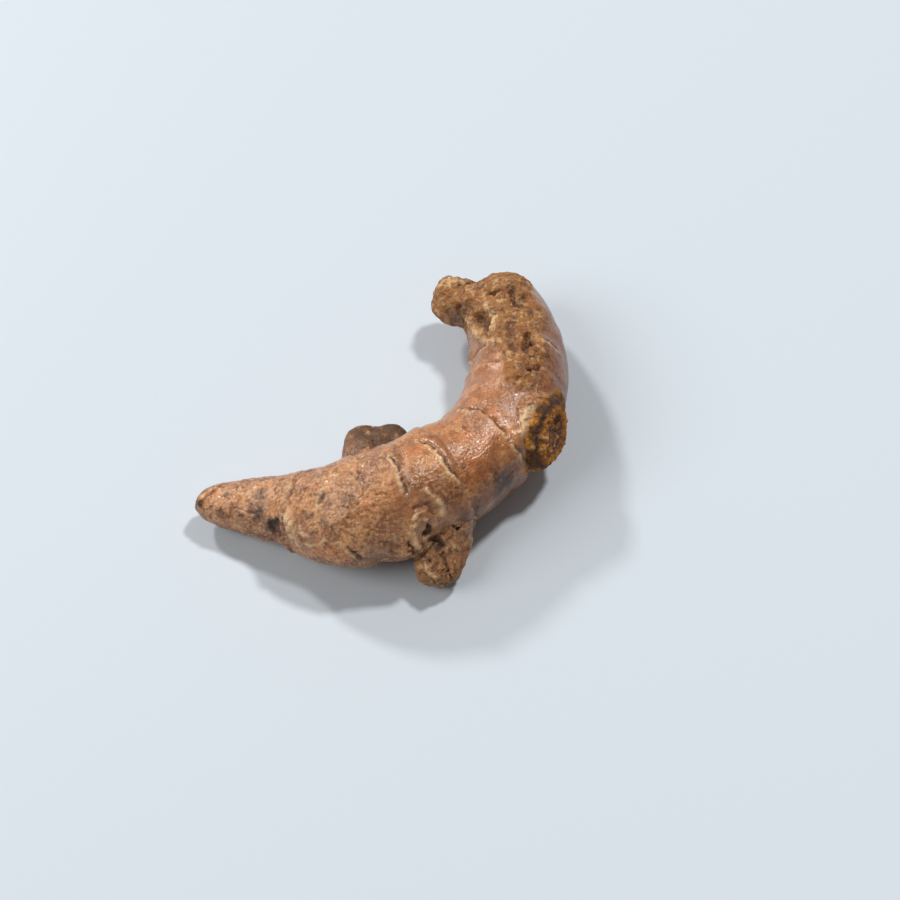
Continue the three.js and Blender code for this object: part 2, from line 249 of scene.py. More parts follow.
BARE_SKIN = [
    [9.4, -6.7, 23.1, 3.4, 0.75],
    [5.2, -19.6, 21.9, 3.6, 1.0],
    [3.4, -14.1, 23.7, 4.8, 0.65],
    [6.3, -1.1, 21.9, 5.4, 0.4],
    [9.1, 5.0, 21.0, 4.6, 0.3],
    [0.0, -9.5, 22.7, 4.4, 0.4],
    [8.0, -12.0, 23.0, 3.6, 0.7],
    [-7.5, -16.0, 24.5, 3.4, 0.5],
    [-16.7, -29.3, 23.0, 3.0, 0.5],
    [14.0, -14.0, 4.0, 6.0, 0.6],
    [-22.0, -24.0, 1.0, 7.0, 0.6],
    [26.0, 12.0, 10.0, 5.0, 0.4],
]

# The plan of the corky crown, seen from above, round the broken dome and its knob.
CROWN_PLAN = [
    (17.7, 29.5),
    (19.7, 24.9),
    (20.8, 21.0),
    (20.1, 15.5),
    (20.6, 10.9),
    (19.9, 6.5),
    (17.8, 1.5),
    (15.2, -0.8),
    (13.1, -0.3),
    (11.2, 1.6),
    (11.1, 8.9),
    (9.1, 13.9),
    (6.5, 17.1),
    (4.4, 24.0),
    (2.0, 28.6),
    (-3.0, 28.0),
    (-12.0, 30.0),
    (-12.0, 42.0),
    (20.0, 46.0),
]
CROWN_LOW = {"height": 7.0, "soft": 1.5}
CROWN_EDGE = {"waver": 0.9, "size": 1.4, "soft": (-0.5, 0.7)}
FACE = {"at": (22.8, -7.2, 15.2), "toward": (0.883, -0.414, 0.221), "back": 3.4, "soft": 0.4, "radius": 10.0}
SHOOT_END = {"at": (-2.0, -34.5, 7.5), "full": 6.0, "reach": 10.0}

# Relief of the film in millimetres. A size is how far apart the lumps are.
SWELL = {"height": 0.16, "size": 3.4}
WRINKLE = {"height": 0.03, "scurfy": 0.06, "size": 1.0, "squeeze": (0.4, 1, 1)}
SCURF_SIZE = 1.2
FLAKE = {"height": 0.12, "size": 2.6, "edge": (0.05, 0.14)}
# Scurfy skin gives way to smooth skin between these distances along the body.
SCURF_FADE = (34, 54)
LEAST_SCURF = 0.2

# Rings and cracks in millimetres: how wide each part is, and how far from the edge the groove or the rim lies.
RING = {"lip": 1.4, "groove": 0.32, "groove_at": 0.25, "rim": 0.5, "rim_at": 0.5, "share": 0.6, "pale": 0.4}
RING_CLEAR = (3, 9)
CRACK = {"lip": 1.1, "groove": 0.4, "dark": 0.38, "rim": 0.4, "rim_at": 0.75, "pale": 0.8, "reach": 6}

# Crumbly cork: sizes in millimetres and shares of its height.
CORK_RAISED = 0.3
LUMP = {"share": 0.8, "size": 4.2}
CRUMB = {"share": 0.34, "size": 1.1}
CHIP = {"share": 0.3, "size": 1.7}
CREVICE = {"share": 0.8, "width": 0.16, "size": 3.0}

# The broken face in millimetres, and the fibrous end of the shoot.
STRAND = {"height": 0.3, "size": 1.4}
TORN_CHIP = {"height": 0.1, "size": 1.7, "gap": 0.25}
DISH = {"depth": 0.8, "span": (2.5, 6.6)}
WORN_EDGE = {"depth": 1.3, "from": 5.4, "rim": 6.0, "to": 8.0}
FIBRES = {"height": 0.55, "crumbs": 0.35, "sunk": 0.5}
HOLLOW_LIP = {"height": 0.2, "at": 1.5, "width": 0.5}
# A mask under this share isn't worth shaping.
FAINT = 0.01

# Layers of colour from below: (colour, mask, pattern, strength). A pattern is (size in mm, from, to, detail).
# Blotches of 3 to 6 mm, flakes of about 1 mm and pores of about 0.6 mm, as on the real skin.
FILM_LAYERS = [
    ("lilac", None, (6.0, 0.44, 0.6, 3.0), 0.75),
    ("brown", None, (3.6, 0.49, 0.63, 6.0), 0.6),
    ("bare", "bare", (2.4, 0.34, 0.56, 4.0), 1.0),
    # Grey and old skin, partly painted shade over the bud, the right side and under the crown's knob.
    ("lilac", "grey", None, 0.9),
    ("brown", "old", (3.0, 0.32, 0.55, 5.0), 1.0),
    ("scar", "scar", None, 0.9),
    ("scurf", "flaky", None, 0.42),
    ("brown", None, (0.6, 0.52, 0.64, 4.0), 0.55),
    ("stain", "scurfy", (1.7, 0.57, 0.68, 6.0), 0.7),
    ("soil", "old", (0.9, 0.54, 0.64, 4.0), 0.6),
]
CORK_LAYERS = [
    ("cream_and_highlight", None, (1.3, 0.48, 0.62, 6.0), 0.6),
    ("brown", None, (2.6, 0.46, 0.62, 6.0), 0.6),
    ("grey_cork_and_hollow_shade", None, (1.5, 0.54, 0.66, 6.0), 0.75),
]
TORN_LAYERS = [
    ("stain", None, (1.6, 0.49, 0.62, 6.0), 0.75),
    ("cork", None, (0.8, 0.54, 0.64, 3.0), 0.6),
]
LAST_LAYERS = [
    # Painted shade: brown in the low places of the relief.
    ("brown", "low", None, 0.7),
    # Pale rims and lips: partly pale scale edges, partly painted highlight on the crack lips and the broken face's rim.
    ("cream_and_highlight", "rim", (1.2, 0.36, 0.56, 3.0), 0.8),
    # Stains, partly painted shade over the bud behind the body and under the crown's knob.
    ("stain", "stain", (2.2, 0.3, 0.54, 4.0), 1.0),
    # Painted shade in the hollows, darker still with the soil colour in the deepest.
    ("grey_cork_and_hollow_shade", "hollow", None, 0.8),
    ("soil", "deep", None, 0.6),
    ("soil", "crack", None, 0.8),
]
FLAKE_PATTERN = (0.8, 0.48, 0.6, 5.0)
# Wrinkles 0.75 mm apart run along the limb. The real skin's grain is finer than 0.3 mm, drawn at 0.5 mm to show.
WRINKLE_PATTERN = (0.75, 0.3, 0.7, 2.0)
WRINKLE_DRAWN_OUT = 2.5
WRINKLE_SHARE = 0.6
GRAIN_PATTERN = (0.5, 0.3, 0.7, 3.0)
GRAIN_HEIGHT = 0.11 * MM
GRAIN = {"smooth": 0.45, "scurfy": 0.65, "dry": 1.7}
ROUGHNESS = {"smooth": 0.2, "scurfy": 0.4, "dry": 0.85}
FILM_IOR = 1.58
# The film's own reddish brown also tinges what it mirrors.
FILM_TINGE = (1.0, 0.96, 0.91, 1.0)

TABLE_HALF = 3.0
LIGHT_DISTANCE = 1.8
# Toward each light from the root: (name, direction, power setting, size setting).
SOFTBOXES = [
    ("back_softbox", (-0.5, 0.6, 0.62), "back_power", "light_size"),
    ("top_softbox", (0.36, 0.33, 0.87), "top_power", "light_size"),
    ("left_softbox", (-0.71, -0.25, 0.66), "left_power", "left_size"),
]


def linear(code):
    """The linear colour of an sRGB hex code, with alpha 1."""
    parts = [int(code[i : i + 2], 16) / 255 for i in (1, 3, 5)]
    return (*[c / 12.92 if c <= 0.04045 else ((c + 0.055) / 1.055) ** 2.4 for c in parts], 1.0)


def colour(name, code, about):
    """A colour setting that starts from an sRGB hex code."""
    return bpy.props.FloatVectorProperty(
        name=name, description=about, subtype="COLOR", size=4, min=0.0, max=1.0, default=linear(code)
    )


def length(name, default, about):
    """A length setting in metres."""
    return bpy.props.FloatProperty(name=name, description=about, default=default, min=0.0, unit="LENGTH", precision=5)


class RhizomeSettings(bpy.types.PropertyGroup):
    """Sizes and colours of the turmeric root."""

    grain: length("Grain", 0.355 * MM, "Spacing of the skin's points")
    ring_lip: length("Ring lip", 0.3 * MM, "Height of the lip at each leaf scar")
    crack_depth: length("Crack depth", 0.5 * MM, "Depth of the cracks at the leaf scars")
    cork_height: length("Cork height", 0.45 * MM, "Height of the lumps on the corky crown")
    scurf_height: length("Scurf height", 0.1 * MM, "Height of the rough, scurfy skin")
    smoothing: bpy.props.IntProperty(name="Smoothing", description="Passes that round off facets", default=12, min=0)
    tan: colour("Tan skin", "#BC8151", "Dry outer skin")
    scurf: colour("Scurf", "#E0B585", "Pale flakes of dry skin")
    # Brown and grey skin are also laid on as painted shade in places.
    brown: colour("Brown skin", "#7C431C", "Old, brown skin")
    lilac: colour("Grey skin", "#8E5E42", "Greyish skin with a lilac tinge")
    bare: colour("Bare skin", "#C27647", "Thin orange skin over the flesh")
    # Dark stains; also laid on as painted shade over the bud behind the body.
    stain: colour("Stain", "#331B08", "Dark stains")
    soil: colour("Soil", "#2C190C", "Soil in the cracks and pores")
    # Greyish brown patches of the cork, and painted shade in the hollows.
    grey_cork_and_hollow_shade: colour("Recess", "#5C4236", "Greyish brown hollows of the cork")
    cork: colour("Cork", "#9C6736", "Corky scar tissue")
    # Pale flecks of the cork, and pale rims and lips that are partly a painted highlight.
    cream_and_highlight: colour("Cork rim", "#E2BD8A", "Pale rims of the cork")
    scar: colour("Scar", "#B4662C", "Dry orange scars where leaves fell off")
    torn: colour("Torn face", "#D98A20", "Dry broken face of the side shoot")


class StageSettings(bpy.types.PropertyGroup):
    """Table, light and camera."""

    table: colour("Table", "#C6CED5", "Pale table top")
    back_power: bpy.props.FloatProperty(name="Back light", description="Power in watts", default=15.0, min=0.0)
    top_power: bpy.props.FloatProperty(name="Top light", description="Power in watts", default=17.0, min=0.0)
    left_power: bpy.props.FloatProperty(name="Left light", description="Power in watts", default=16.0, min=0.0)
    light_size: length("Light size", 220 * MM, "Diameter of the back and the top light")
    left_size: length("Left light size", 1200 * MM, "Diameter of the left light")
    air: bpy.props.FloatProperty(name="Surrounding light", description="Strength", default=0.19, min=0.0)
    elevation: bpy.props.FloatProperty(
        name="Camera elevation", description="Over the table", default=math.radians(55), subtype="ANGLE"
    )
    distance: length("Camera distance", 468 * MM, "From the middle of the picture")
    lens: bpy.props.FloatProperty(name="Lens", description="Focal length in millimetres", default=85.0, min=1.0)


def add(tree, kind, inputs=None, **settings):
    """Adds one node with its settings, and links or fills its inputs."""
    made = tree.nodes.new(kind)
    for name, value in settings.items():
        setattr(made, name, value)
    for key, value in (inputs or {}).items():
        if isinstance(value, bpy.types.NodeSocket):
            tree.links.new(value, made.inputs[key])
        else:
            made.inputs[key].default_value = value
    return made


def smooth(values, low, high):
    """0 under low, 1 over high and a smooth rise between."""
    share = np.clip((values - low) / (high - low), 0, 1)
    return share * share * (3 - 2 * share)


def bell(distance, width):
    return np.exp(-((distance / width) ** 2))


def noise_at(points, size, octaves=1, seed=0.0):
    """Noise of about -1 to 1 at each point, with lumps of a size in millimetres."""
    shift = Vector((seed, 1.7 * seed, 2.3 * seed))
    places = [Vector(p) / size + shift for p in points]
    if octaves == 1:
        return np.array([noise.noise(p) for p in places])
    return np.array([noise.fractal(p, 0.7, 2.1, octaves) for p in places])


def swirl_at(points, size, seed=0.0):
    """A vector of noise at each point, with swirls of a size in millimetres."""
    shift = Vector((seed, 1.7 * seed, 2.3 * seed))
    return np.array([noise.noise_vector(Vector(p) / size + shift) for p in points])


def chips_at(points, size, seed=0.0):
    """Angular chips of a size in millimetres: the gap to the nearest chip's edge, 0 on it, and each chip's own height
    from -1 to 1."""
    shift = Vector((seed, 1.7 * seed, 2.3 * seed))
    gaps = np.zeros(len(points))
    heights = np.zeros(len(points))
    for i, p in enumerate(points):
        distances, middles = noise.voronoi(Vector(p) / size + shift)
        gaps[i] = distances[1] - distances[0]
        heights[i] = math.sin(97.0 * middles[0].x + 57.0 * middles[0].y + 31.0 * middles[0].z)
    return gaps, heights


def spine(stations, steps=12):
    """Points, radii and directions of a smooth line through the stations, and the distance to each."""
    knots = np.array(stations, float)
    ends = np.vstack([2 * knots[0] - knots[1], knots, 2 * knots[-1] - knots[-2]])
    rows = []
    for a, b, c, d in zip(ends[:-3], ends[1:-2], ends[2:-1], ends[3:]):
        for t in np.arange(steps) / steps:
            square, cube = t**2, t**3
            rows.append(b + 0.5 * ((c - a) * t + (2 * a - 5 * b + 4 * c - d) * square + (3 * b - a - 3 * c + d) * cube))
    rows = np.array([*rows, knots[-1]])
    steps_apart = np.linalg.norm(np.diff(rows[:, :3], axis=0), axis=1)
    along = np.gradient(rows[:, :3], axis=0)
    along /= np.linalg.norm(along, axis=1)[:, None]
    return rows[:, :3], rows[:, 3], along, np.concatenate([[0], np.cumsum(steps_apart)])


def unbent(points, limbs=LIMBS):
    """Each point's place on its limb as if the limb were straight, the distance along it and the two across it. Also
    which limb that is, and the distance along the first limb for all."""
    best = np.full(len(points), np.inf)
    place = np.zeros_like(points)
    limb = np.zeros(len(points), int)
    on_first = None
    for number, stations in enumerate(limbs):
        line, radii, along, distance = spine(stations)
        gap = (points**2).sum(1)[:, None] - 2 * points @ line.T + (line**2).sum(1)[None]
        nearest = gap.argmin(1)
        off = points - line[nearest]
        travelled = distance[nearest] + (off * along[nearest]).sum(1)
        side = np.cross(along[nearest], (0.0, 0.0, 1.0))
        side /= np.linalg.norm(side, axis=1)[:, None]
        over = np.cross(side, along[nearest])
        here = np.stack([travelled, (off * side).sum(1), (off * over).sum(1)], axis=1)
        share = np.linalg.norm(off, axis=1) / radii[nearest]
        if number == 0:
            on_first = travelled
        else:
            share[nearest < 4] = np.inf
        closer = share < best
        best[closer], place[closer], limb[closer] = share[closer], here[closer], number
    return place, limb, on_first


def near_line(points, line):
    """How far each point is from a line through knots, and the nearest place on it."""
    knots = np.array(line, float)
    best = np.full(len(points), np.inf)
    foot = np.zeros_like(points)
    for a, b in zip(knots[:-1], knots[1:]):
        share = np.clip((points - a) @ (b - a) / ((b - a) @ (b - a)), 0, 1)
        here = a + share[:, None] * (b - a)
        gap = np.linalg.norm(points - here, axis=1)
        closer = gap < best
        best[closer], foot[closer] = gap[closer], here[closer]
    return best, foot


def inside_plan(points, plan):
    """How deep each point is inside a closed plan seen from above, below nought outside it."""
    corners = np.array([*plan, plan[0]], float)
    flat = points[:, :2]
    gap = np.full(len(points), np.inf)
    inside = np.zeros(len(points), bool)
    for a, b in zip(corners[:-1], corners[1:]):
        share = np.clip((flat - a) @ (b - a) / ((b - a) @ (b - a)), 0, 1)
        gap = np.minimum(gap, np.linalg.norm(flat - a - share[:, None] * (b - a), axis=1))
        crosses = (a[1] > flat[:, 1]) != (b[1] > flat[:, 1])
        with np.errstate(divide="ignore", invalid="ignore"):
            reach = a[0] + (flat[:, 1] - a[1]) / (b[1] - a[1]) * (b[0] - a[0])
        inside ^= crosses & (flat[:, 0] < reach)
    return np.where(inside, gap, -gap)


def spots(points, rows):
    """The strongest of several round soft-edged spots at each point. Rows are [x, y, z, radius, strength]."""
    value = np.zeros(len(points))
    for x, y, z, radius, strength in rows:
        gap = np.linalg.norm(points - (x, y, z), axis=1)
        value = np.maximum(value, strength * (1 - smooth(gap, 0.4 * radius, 1.4 * radius)))
    return value


def zones(points):
    """Where the skin is corky, torn or fibrous, from 0 to 1."""
    depth = inside_plan(points, CROWN_PLAN) + CROWN_EDGE["waver"] * noise_at(points, CROWN_EDGE["size"], 2, seed=41)
    low, soft = CROWN_LOW["height"], CROWN_LOW["soft"]
    crown = smooth(depth, *CROWN_EDGE["soft"]) * smooth(points[:, 2], low - soft, low + soft)
    end_gap = np.linalg.norm(points - SHOOT_END["at"], axis=1)
    fibrous = 1 - smooth(end_gap, SHOOT_END["full"], SHOOT_END["reach"])
    off = points - FACE["at"]
    reach = off @ np.array(FACE["toward"])
    across = np.linalg.norm(off - reach[:, None] * FACE["toward"], axis=1)
    torn = smooth(reach, -FACE["back"] - FACE["soft"], -FACE["back"] + FACE["soft"])
    torn *= 1 - smooth(across, FACE["radius"], FACE["radius"] + 1)
    return crown, torn, fibrous, reach, across


def skin_relief(points, place, scurfy, settings):
    """The film's own relief in mm: gentle swelling, wrinkles along the limb, scurf and the edges of papery flakes."""
    relief = SWELL["height"] * noise_at(points, SWELL["size"], seed=1)
    wrinkles = noise_at(place * WRINKLE["squeeze"], WRINKLE["size"], 2, seed=2)
    relief += (WRINKLE["height"] + WRINKLE["scurfy"] * scurfy) * wrinkles
    relief += settings.scurf_height / MM * scurfy * noise_at(points, SCURF_SIZE, 3, seed=3)
    flakes = noise_at(points + 0.8 * swirl_at(points, 1.1, seed=8), FLAKE["size"], seed=9)
    return relief + FLAKE["height"] * scurfy * smooth(flakes, *FLAKE["edge"])


def cork_relief(points, settings):
    """Crumbly cork in mm: lumps, angular chips with crevices between them, and crumbs."""
    ragged = points + 0.7 * swirl_at(points, 1.5, seed=11)
    gaps, heights = chips_at(ragged, CHIP["size"], seed=12)
    crevices = 1 - smooth(gaps, 0.0, CREVICE["width"])
    crevices *= smooth(noise_at(points, CREVICE["size"], seed=13), -0.05, 0.25)
    lumps = LUMP["share"] * noise_at(points, LUMP["size"], 2, seed=14)
    lumps += CRUMB["share"] * noise_at(points, CRUMB["size"], 3, seed=15)
    return settings.cork_height / MM * (lumps + CHIP["share"] * heights - CREVICE["share"] * crevices)


def torn_relief(points, reach, across):
    """The broken face in mm: torn strands and pits, a shallow dish and a rounded rim."""
    ragged = points + 0.8 * swirl_at(points, 1.5, seed=21)
    gaps, heights = chips_at(ragged, TORN_CHIP["size"], seed=22)
    strands = STRAND["height"] * noise_at(ragged, STRAND["size"], 3, seed=23) + TORN_CHIP["height"] * heights
    strands -= TORN_CHIP["gap"] * (1 - smooth(gaps, 0.02, 0.2))
    dish = 1 - smooth(across, *DISH["span"])
    worn_edge = smooth(reach, -FACE["back"], FACE["soft"]) * smooth(across, WORN_EDGE["from"], WORN_EDGE["to"])
    worn_strands = strands * (1 - 0.5 * smooth(across, WORN_EDGE["rim"], WORN_EDGE["to"]))
    return worn_strands - DISH["depth"] * dish - WORN_EDGE["depth"] * worn_edge


def shape_skin(points, settings):
    """How far the skin stands out at each point in mm, and the masks of its finish from 0 to 1."""
    ring_lip, crack_depth = settings.ring_lip / MM, settings.crack_depth / MM
    place, limb, on_body = unbent(points)
    wobbly = points + 0.5 * swirl_at(points, 1.6)
    ragged = points + 0.8 * swirl_at(points, 2.0, seed=5) + 0.7 * swirl_at(points, 0.9, seed=6)
    cork, torn, fibrous, reach, across = zones(wobbly)
    plain = (1 - cork) * (1 - torn)
    scurfy = np.clip(1.1 - smooth(on_body, *SCURF_FADE) + 0.8 * noise_at(points, 9, seed=4), LEAST_SCURF, 1)
    scurfy = np.maximum(scurfy, (limb > 0) * 1.0) * plain
    relief = skin_relief(points, place, scurfy, settings) * plain
    crack = np.zeros(len(points))
    rim = np.zeros(len(points))

    # The rings waver, fade in and out round the body, and stop short of the cracks.
    clear = np.min([near_line(points, line)[0] for line in CRACKS], axis=0)
    fade = np.clip(0.6 + 1.3 * noise_at(points, 8, seed=7), 0, 1) * (limb == 0) * plain * smooth(clear, *RING_CLEAR)
    bend = on_body - 1.8 * noise_at(points, 7, seed=8) - 0.9 * noise_at(points, 1.9, 2, seed=9)
    for ring in RINGS:
        off = bend - ring
        groove = bell(off - RING["groove_at"], RING["groove"]) * fade
        lip = np.exp(-np.abs(off) / RING["lip"]) * (off < 0) * fade
        relief += ring_lip * lip - RING["share"] * crack_depth * groove
        crack = np.maximum(crack, RING["share"] * groove)
        rim = np.maximum(rim, RING["pale"] * bell(off + RING["rim_at"], RING["rim"]) * fade)
    for line in CRACKS:
        gap, foot = near_line(wobbly, line)
        near = np.flatnonzero(gap < CRACK["reach"])
        tipward = np.zeros(len(points))
        tipward[near] = unbent(foot[near], [BODY])[2] > on_body[near]
        relief += ring_lip * np.exp(-gap / CRACK["lip"]) * tipward - crack_depth * bell(gap, CRACK["groove"])
        crack = np.maximum(crack, bell(gap, CRACK["dark"]))
        rim = np.maximum(rim, CRACK["pale"] * bell(gap - CRACK["rim_at"], CRACK["rim"]) * tipward)
    for line, height, width in RIDGES:
        gap, _ = near_line(wobbly, line)
        relief += height * bell(gap, width)
        rim = np.maximum(rim, bell(gap, 0.8 * width))
    for line, height, width in SWELLINGS:
        gap, _ = near_line(wobbly, line)
        relief += height * bell(gap, width)

    relief += cork * CORK_RAISED
    some = cork > FAINT
    relief[some] += cork[some] * cork_relief(points[some], settings)
    eye_gap = np.linalg.norm(ragged - EYE["at"], axis=1)
    eye = np.cos(2 * math.pi * eye_gap / EYE["spacing"]) * (1 - smooth(eye_gap, 0.7 * EYE["reach"], EYE["reach"]))
    relief += EYE["height"] * eye * cork
    some = torn > FAINT
    relief[some] += torn[some] * torn_relief(points[some], reach[some], across[some])
    some = fibrous > FAINT
    bent = place[some] + 0.9 * swirl_at(points[some], 1.8, seed=33)
    fibres = np.abs(noise_at(bent * (0.3, 1, 1), 1.5, seed=31)) + 0.5 * noise_at(bent * (0.4, 1, 1), 0.9, 2, seed=32)
    crumbs = noise_at(ragged[some], 2.4, 2, seed=34)
    relief[some] += fibrous[some] * (FIBRES["height"] * fibres + FIBRES["crumbs"] * crumbs - FIBRES["sunk"])
    gaps = np.zeros(len(points))
    gaps[some] = fibrous[some] * (1 - smooth(fibres, -0.12, 0.1))

    # Painted shade: the sunk places of the cork and the broken face, and the gaps between the fibres, are darkened.
    hollow = np.maximum(smooth(-relief, 0.45, 1.1) * np.maximum(cork, torn), 0.55 * gaps)
    # Stains and painted shade from the listed patches, and a darker ring round the broken face's worn edge.
    stain = np.maximum(spots(ragged, STAINS_AND_SHADE), 0.8 * torn * smooth(across, WORN_EDGE["rim"], 7.6))
    scar = np.zeros(len(points))
    for line, width in SCARS:
        scar = np.maximum(scar, 1 - smooth(near_line(ragged, line)[0], 0.85 * width, 1.15 * width))
    for line, depth, width in HOLLOWS:
        gap, _ = near_line(ragged, line)
        inner = 1 - smooth(gap, 0.2 * width, 1.25 * width)
        relief += HOLLOW_LIP["height"] * bell(gap - HOLLOW_LIP["at"] * width, HOLLOW_LIP["width"]) - depth * inner
        # Painted shade in the listed hollows.
        hollow = np.maximum(hollow, smooth(depth, 0.2, 1.2) * (1 - smooth(gap, 0.3 * width, 1.1 * width)))
    corky_bud = spots(ragged, CORKY_BUD) * (limb >= LIMBS.index(BACK_BUD))
    masks = {
        "cork": np.max([cork, 0.7 * fibrous, corky_bud], axis=0),
        "torn": torn,
        "hollow": hollow,
        "crack": crack,
        # Pale rims and lips; on the crack lips and the broken face's rim this paints a highlight.
        "rim": rim * (1 - 0.7 * hollow),
        "scurfy": scurfy,
        # How high the relief stands; its low places get painted shade.
        "high": np.clip(0.5 + 0.7 * (relief + FIBRES["sunk"] * fibrous), 0, 1),
        # Stains, old skin and grey skin, each partly painted shade.
        "stain": stain,
        "old": spots(ragged, OLD_SKIN_AND_SHADE),
        "grey": spots(ragged, GREY_SKIN_AND_SHADE),
        "bare": spots(ragged, BARE_SKIN) * (1 - cork),
        "scar": scar,
    }
    return relief, masks, place


def skin_material(settings):
    """Fresh turmeric skin: a thin, dry, papery film over moist orange flesh. It gives the eye a satin brown skin with
    an orange glow where it is thin, pale flakes, dark soil in its pores, and matt crumbly cork where shoots broke
    off."""
    material = bpy.data.materials.new("fresh_turmeric_skin")
    material.use_nodes = True
    tree = material.node_tree
    tree.nodes.clear()
    place = add(tree, "ShaderNodeTexCoord").outputs["Object"]
    straight = add(tree, "ShaderNodeAttribute", attribute_name="straight").outputs["Vector"]
    names = ("cork", "torn", "hollow", "crack", "rim", "scurfy", "high", "stain", "old", "grey", "bare", "scar")
    masks = {name: add(tree, "ShaderNodeAttribute", attribute_name=name).outputs["Fac"] for name in names}

    def pattern(size_mm, low, high, detail, drawn_out=None):
        """Noise of a size in millimetres, as 0 under low and 1 over high. It may be drawn out along the limb."""
        vector = place
        if drawn_out:
            stretch = {0: straight, 1: (1 / drawn_out, 1.0, 1.0)}
            vector = add(tree, "ShaderNodeVectorMath", stretch, operation="MULTIPLY").outputs[0]
        made = add(tree, "ShaderNodeTexNoise", {"Vector": vector, "Scale": 1 / (size_mm * MM), "Detail": detail})
        limits = {"Value": made.outputs["Fac"], "From Min": low, "From Max": high}
        return add(tree, "ShaderNodeMapRange", limits, interpolation_type="SMOOTHSTEP").outputs["Result"]

    def times(a, b):
        return add(tree, "ShaderNodeMath", {0: a, 1: b}, operation="MULTIPLY", use_clamp=True).outputs[0]

    def over(base, top, share):
        return add(tree, "ShaderNodeMix", {0: share, 6: base, 7: top}, data_type="RGBA").outputs[2]

    def layered(base, layers):
        """Lays colours over a base, each as strongly as its mask and its pattern say."""
        for top, mask, grain, strength in layers:
            share = times(pattern(*grain), strength) if grain else strength
            base = over(base, getattr(settings, top), times(masks[mask], share) if mask else share)
        return base

    masks["flaky"] = times(pattern(*FLAKE_PATTERN), masks["scurfy"])
    masks["deep"] = times(masks["hollow"], masks["hollow"])
    # Painted shade: the low places of the relief.
    painted_shade_in_low_places = {"Value": masks["high"], "From Min": 0.5, "From Max": 0.1}
    masks["low"] = add(tree, "ShaderNodeMapRange", painted_shade_in_low_places).outputs["Result"]
    # Besides the skin's own colours, the layers paint shade into hollows and low places and highlights onto raised
    # lips.
    skin = layered(settings.tan, FILM_LAYERS)
    skin = over(skin, layered(settings.cork, CORK_LAYERS), masks["cork"])
    skin = over(skin, layered(settings.torn, TORN_LAYERS), masks["torn"])
    skin = layered(skin, LAST_LAYERS)

    dry = add(tree, "ShaderNodeMath", {0: masks["cork"], 1: masks["torn"]}, operation="MAXIMUM").outputs[0]
    dull = {"Value": masks["flaky"], "To Min": ROUGHNESS["smooth"], "To Max": ROUGHNESS["scurfy"]}
    roughness = add(tree, "ShaderNodeMapRange", dull).outputs["Result"]
    roughness = add(tree, "ShaderNodeMix", {0: dry, 2: roughness, 3: ROUGHNESS["dry"]}).outputs[0]

    wrinkles = pattern(*WRINKLE_PATTERN, drawn_out=WRINKLE_DRAWN_OUT)
    both = {0: wrinkles, 1: WRINKLE_SHARE, 2: pattern(*GRAIN_PATTERN)}
    relief = add(tree, "ShaderNodeMath", both, operation="MULTIPLY_ADD").outputs[0]
    rough = {"Value": masks["scurfy"], "From Min": LEAST_SCURF, "To Min": GRAIN["smooth"], "To Max": GRAIN["scurfy"]}
    rough = add(tree, "ShaderNodeMapRange", rough).outputs["Result"]
    crumbly = add(tree, "ShaderNodeMix", {0: dry, 2: rough, 3: GRAIN["dry"]}).outputs[0]
    relief = add(tree, "ShaderNodeMath", {0: relief, 1: crumbly}, operation="MULTIPLY").outputs[0]
    bump = add(tree, "ShaderNodeBump", {"Strength": 1.0, "Distance": GRAIN_HEIGHT, "Height": relief}).outputs["Normal"]
    finish = {"Base Color": skin, "Roughness": roughness, "Normal": bump}
    finish |= {"IOR": FILM_IOR, "Specular Tint": FILM_TINGE}
    shader = add(tree, "ShaderNodeBsdfPrincipled", finish)
    add(tree, "ShaderNodeOutputMaterial", {"Surface": shader.outputs["BSDF"]})
    return material


def store(mesh, name, values, kind="FLOAT"):
    """Keeps a value or a vector for each of the mesh's points."""
    attribute = mesh.attributes.new(name, kind, "POINT")
    attribute.data.foreach_set("vector" if kind == "FLOAT_VECTOR" else "value", values.astype(np.float32).ravel())


class TURMERIC_OT_rhizome(bpy.types.Operator):
    """Shape and finish the rhizome"""

    bl_idname = "turmeric.rhizome"
    bl_label = "Rhizome"

    def execute(self, context):
        settings = context.scene.turmeric_rhizome
        # noise_vector starts from the clock unless it has a seed.
        noise.seed_set(SWIRL_SEED)
        base = bpy.data.objects.new("rhizome_form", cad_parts[NODE].data.copy())
        context.scene.collection.objects.link(base)
        remesh = base.modifiers.new("grain", "REMESH")
        remesh.mode = "VOXEL"
        remesh.voxel_size = settings.grain
        rounding = base.modifiers.new("rounding", "SMOOTH")
        rounding.factor = 0.5
        rounding.iterations = settings.smoothing
        context.view_layer.update()
        mesh = bpy.data.meshes.new_from_object(base.evaluated_get(context.evaluated_depsgraph_get()))
        bpy.data.objects.remove(base)
        count = len(mesh.vertices)
        if not count:
            raise RuntimeError("the rhizome's skin has no points")
        flat = np.zeros(count * 3)
        mesh.vertices.foreach_get("co", flat)
        points = flat.reshape(-1, 3) / MM + MIDDLE
        facing = np.zeros(count * 3, np.float32)
        mesh.vertex_normals.foreach_get("vector", facing)
        relief, masks, place = shape_skin(points, settings)
        points += relief[:, None] * facing.reshape(-1, 3)
        points[:, 2] = np.maximum(points[:, 2], MIDDLE[2])
        mesh.vertices.foreach_set("co", ((points - MIDDLE) * MM).astype(np.float32).ravel())
        for name, values in masks.items():
            store(mesh, name, values)
        store(mesh, "straight", place * MM, "FLOAT_VECTOR")
        mesh.materials.clear()
        mesh.materials.append(skin_material(settings))
        mesh.shade_smooth()
        mesh.update()
        root = bpy.data.objects.new("turmeric_rhizome", mesh)
        context.scene.collection.objects.link(root)
        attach(root, "root")
        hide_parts(NODE)
        print("rhizome points", count, "faces", len(mesh.polygons))
        return {"FINISHED"}


